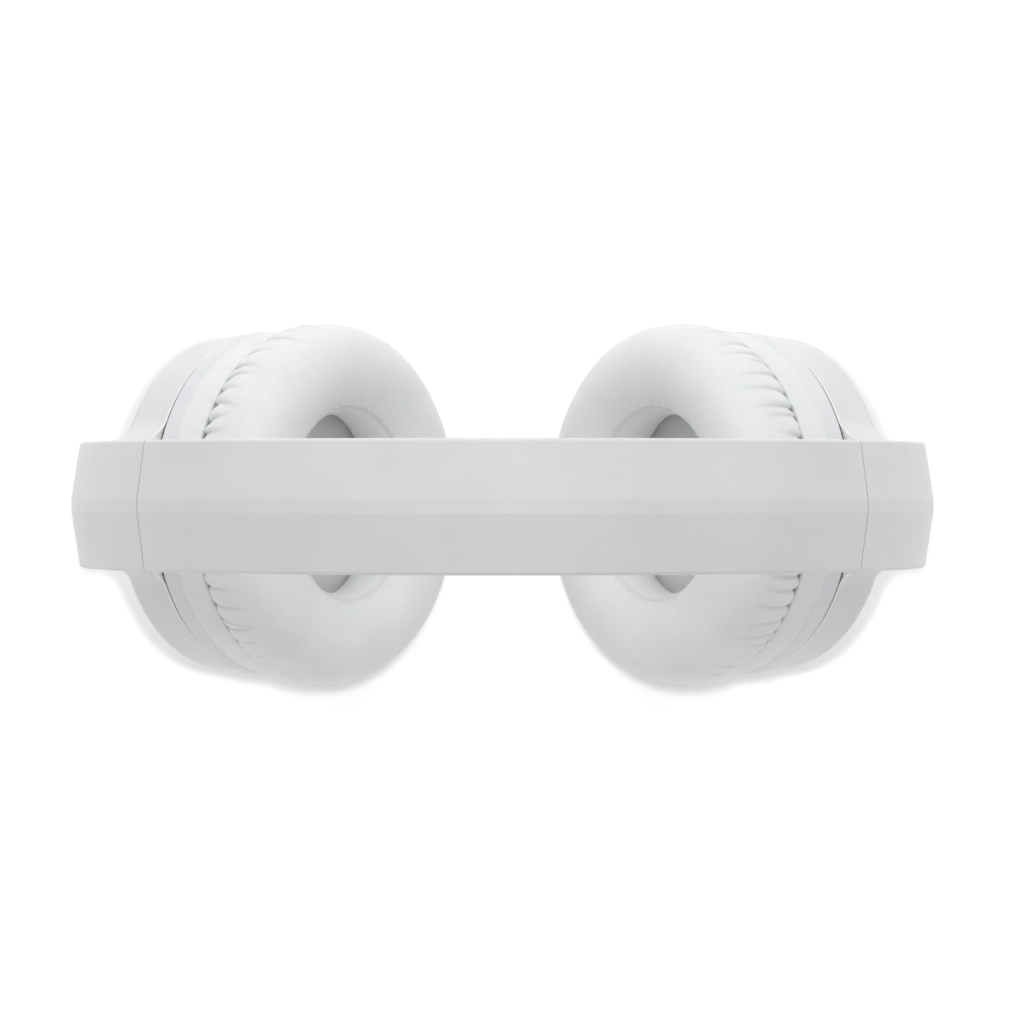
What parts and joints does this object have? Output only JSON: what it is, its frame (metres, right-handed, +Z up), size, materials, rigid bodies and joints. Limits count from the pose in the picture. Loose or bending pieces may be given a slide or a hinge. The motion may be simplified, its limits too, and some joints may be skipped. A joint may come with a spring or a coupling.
{
  "type": "over-ear headphones",
  "caption": "Over-ear headphones: faceted sprung headband with sliding arms, swivelling round cups and gathered soft cushions, with buttons on one rim.",
  "frame": {"origin": "middle of the bounding box's lower face, where the cups' rims meet the table", "axes": "+Z up to the crown of the headband, +X from the left cup to the right cup, +Y to the wearer's front"},
  "size_m": [0.18, 0.0802, 0.1692],
  "materials": {
    "white_plastic": "satin white moulding",
    "white_leather": "soft white synthetic leather",
    "grey_cloth": "open acoustic cloth",
    "grey_plastic": "inner moulding",
    "black_plastic": "dark inner moulding",
    "steel": "brushed",
    "dark_steel": "plain spring steel",
    "acetal": "natural acetal",
    "magnet": "plated",
    "film": "thin formed film",
    "cable": "soft jacket",
    "board": "lacquered board",
    "cell": "foil pouch",
    "lens": "clear light window"
  },
  "bodies": {
    "band": {"band_shell": "white_plastic", "band_liner": "white_plastic", "band_cushion": "white_leather", "band_spring": "dark_steel", "link_cable": "cable", "side_housing_left": "white_plastic", "side_housing_right": "white_plastic", "side_cover_left": "white_plastic", "side_cover_right": "white_plastic", "spring_screws_left": "dark_steel", "spring_screws_right": "dark_steel", "cover_screws_left": "dark_steel", "cover_screws_right": "dark_steel", "detent_spring_left": "dark_steel", "detent_spring_right": "dark_steel"},
    "arm_left_body": {"slider_strip_left": "steel", "arm_left": "white_plastic", "swivel_pin_left": "steel", "swivel_clip_left": "dark_steel"},
    "cup_left_body": {"swivel_bush_left": "acetal", "cup_cover_left": "white_plastic", "cup_housing_left": "white_plastic", "baffle_left": "black_plastic", "driver_frame_left": "black_plastic", "driver_magnet_left": "magnet", "driver_diaphragm_left": "film", "cushion_ring_left": "grey_plastic", "speaker_cloth_left": "grey_cloth", "ear_cushion_left": "white_leather", "cup_screws_left": "dark_steel", "battery": "cell"},
    "arm_right_body": {"slider_strip_right": "steel", "arm_right": "white_plastic", "swivel_pin_right": "steel", "swivel_clip_right": "dark_steel"},
    "cup_right_body": {"swivel_bush_right": "acetal", "cup_cover_right": "white_plastic", "cup_housing_right": "white_plastic", "baffle_right": "black_plastic", "driver_frame_right": "black_plastic", "driver_magnet_right": "magnet", "driver_diaphragm_right": "film", "cushion_ring_right": "grey_plastic", "speaker_cloth_right": "grey_cloth", "ear_cushion_right": "white_leather", "cup_screws_right": "dark_steel", "main_board": "board", "usb_socket": "steel", "status_light": "lens", "microphone": "steel"},
    "volume_up_button_body": {"volume_up_button": "white_plastic"},
    "volume_down_button_body": {"volume_down_button": "white_plastic"},
    "power_button_body": {"power_button": "white_plastic"}
  },
  "joints": [
    {"name": "size_slide_left", "type": "slide", "parent": "band", "child": "arm_left_body", "axis": [0, 0, -1], "range_m": [0, 0.025]},
    {"name": "cup_swivel_left", "type": "hinge", "parent": "arm_left_body", "child": "cup_left_body", "pos_m": [-0.081, 0, 0.07299], "axis": [0, 0, -1], "range_deg": [-5, 90]},
    {"name": "size_slide_right", "type": "slide", "parent": "band", "child": "arm_right_body", "axis": [0, 0, -1], "range_m": [0, 0.025]},
    {"name": "cup_swivel_right", "type": "hinge", "parent": "arm_right_body", "child": "cup_right_body", "pos_m": [0.081, 0, 0.07299], "axis": [0, 0, 1], "range_deg": [-5, 90]},
    {"name": "volume_up_press", "type": "slide", "parent": "cup_right_body", "child": "volume_up_button_body", "axis": [0.2149, -0.9272, 0.3069], "range_m": [0, 0.0004], "stiffness_N_per_m": 800},
    {"name": "volume_down_press", "type": "slide", "parent": "cup_right_body", "child": "volume_down_button_body", "axis": [0.3371, -0.809, 0.4815], "range_m": [0, 0.0004], "stiffness_N_per_m": 800},
    {"name": "power_press", "type": "slide", "parent": "cup_right_body", "child": "power_button_body", "axis": [0.4394, -0.6428, 0.6275], "range_m": [0, 0.0004], "stiffness_N_per_m": 800}
  ]
}
